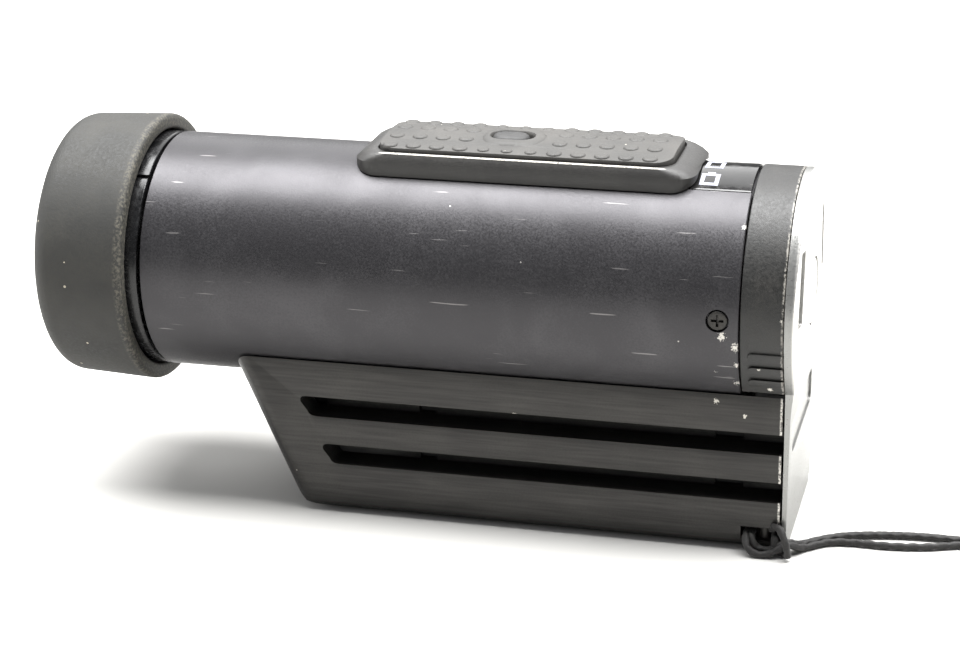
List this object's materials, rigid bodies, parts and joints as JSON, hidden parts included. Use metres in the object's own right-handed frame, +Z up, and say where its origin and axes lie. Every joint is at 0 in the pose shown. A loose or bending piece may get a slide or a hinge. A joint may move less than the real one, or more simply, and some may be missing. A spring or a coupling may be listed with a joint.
{
  "type": "barrel action camera",
  "caption": "Barrel action camera on a grooved rail base, with a rubber lens cap, turning lens head, top record slider, sliding rear door and a looped wrist lanyard.",
  "frame": {"origin": "on the standing surface, under the middle of the camera's box, the cord left out", "axes": "+X from the lens towards the rear door, +Y to the side away from the lanyard notch, +Z up"},
  "size_m": [0.1438, 0.0372, 0.0518],
  "materials": {
    "cap_rubber": "matte moulded rubber, scuffed and dusty",
    "black_anodised_aluminium": "bead-blasted satin black anodising",
    "rail_aluminium": "black anodising with a fine lengthwise grain",
    "slider_rubber": "soft-touch rubber with small raised dots",
    "gloss_black_plastic": "polished black",
    "door_plastic": "black plastic with a fine moulded texture",
    "inner_plastic": "plain black moulding",
    "silver_aluminium": "bead-blasted, clear anodised",
    "black_steel": "black oxide",
    "bright_steel": "plain bright",
    "sheet_steel": "tinned sheet",
    "lens_glass": "coated optical glass",
    "seal_rubber": "smooth nitrile",
    "board_laminate": "green solder mask",
    "contact_brass": "plain",
    "battery_wrap": "dark blue shrink wrap",
    "switch_plastic": "pale moulding",
    "braided_cord": "fine black braid"
  },
  "bodies": {
    "camera_body": {"barrel_tube": "black_anodised_aluminium", "indicator_plate": "gloss_black_plastic", "side_screw_near": "black_steel", "side_screw_far": "black_steel", "head_bearing": "inner_plastic", "head_seal": "seal_rubber", "rail_base": "rail_aluminium", "lanyard_pin": "bright_steel", "base_screw_front": "black_steel", "base_screw_rear": "black_steel", "rear_bulkhead": "inner_plastic", "battery": "battery_wrap", "battery_contacts": "contact_brass", "main_board": "board_laminate", "card_slot": "sheet_steel", "memory_card": "inner_plastic", "usb_socket": "sheet_steel", "processor": "inner_plastic", "microphone": "sheet_steel", "image_sensor": "inner_plastic", "sensor_board": "board_laminate", "switch_board": "board_laminate", "hall_sensor": "inner_plastic", "lanyard_strand_a": "braided_cord", "lanyard_strand_b": "braided_cord", "lanyard_coil": "braided_cord", "lanyard_hitch": "braided_cord", "lanyard_tie": "braided_cord"},
    "lens_head": {"lens_ring": "gloss_black_plastic", "lens_bezel": "gloss_black_plastic", "front_lens": "lens_glass", "lens_tube": "black_anodised_aluminium", "rear_lens": "lens_glass", "lens_spacer": "black_anodised_aluminium", "laser_module_left": "contact_brass", "laser_module_right": "contact_brass"},
    "cap": {"lens_cap": "cap_rubber"},
    "record_slider": {"slider_frame": "slider_rubber", "slider_magnet": "bright_steel", "slider_pad": "slider_rubber"},
    "lock": {"lock_button": "gloss_black_plastic"},
    "rear_door": {"door_frame": "door_plastic", "rear_plate": "silver_aluminium", "status_window_near": "gloss_black_plastic", "status_window_far": "gloss_black_plastic"},
    "power": {"power_button": "silver_aluminium"},
    "mode": {"mode_switch": "switch_plastic"}
  },
  "joints": [
    {"name": "lens_ring_turn", "type": "hinge", "parent": "camera_body", "child": "lens_head", "pos_m": [-0.043, 0, 0.0326], "axis": [1, 0, 0], "range_deg": [-180, 90]},
    {"name": "lens_cap_pull", "type": "slide", "parent": "lens_head", "child": "cap", "axis": [-1, 0, 0], "range_m": [0, 0.03]},
    {"name": "record_slide", "type": "slide", "parent": "camera_body", "child": "record_slider", "axis": [1, 0, 0], "range_m": [0, 0.0066]},
    {"name": "lock_slide", "type": "slide", "parent": "record_slider", "child": "lock", "axis": [1, 0, 0], "range_m": [0, 0.0005]},
    {"name": "door_slide", "type": "slide", "parent": "camera_body", "child": "rear_door", "axis": [0, 0, 1], "range_m": [0, 0.016]},
    {"name": "power_press", "type": "slide", "parent": "rear_door", "child": "power", "axis": [-1, 0, 0], "range_m": [0, 0.0006], "stiffness_N_per_m": 400},
    {"name": "mode_switch_slide", "type": "slide", "parent": "camera_body", "child": "mode", "axis": [0, 1, 0], "range_m": [0, 0.0016]}
  ]
}
